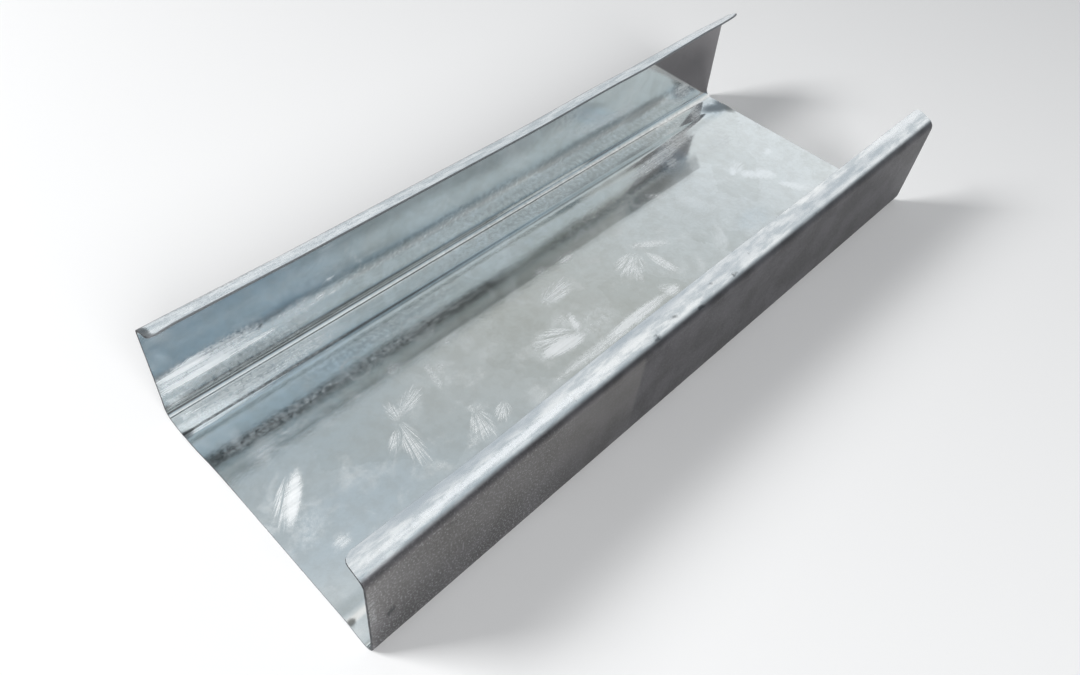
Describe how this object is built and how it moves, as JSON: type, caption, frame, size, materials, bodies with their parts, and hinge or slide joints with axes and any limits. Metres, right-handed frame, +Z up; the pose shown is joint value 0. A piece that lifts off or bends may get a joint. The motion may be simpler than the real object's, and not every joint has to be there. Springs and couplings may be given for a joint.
{
  "type": "drywall stud",
  "caption": "Short cut piece of a lipped channel drywall stud, rolled from galvanised sheet, lying on its web with the open side up.",
  "frame": {"origin": "middle of the web's underside, which lies flat on the ground", "axes": "+X along the piece, +Y across the web towards the flange that is farther away in the picture, +Z up out of the open side"},
  "size_m": [0.208, 0.0772, 0.0319],
  "materials": {
    "galvanised_sheet": "hot-dip galvanised, large spangle, dulled outside"
  },
  "bodies": {
    "root": {"stud": "galvanised_sheet"}
  },
  "joints": []
}
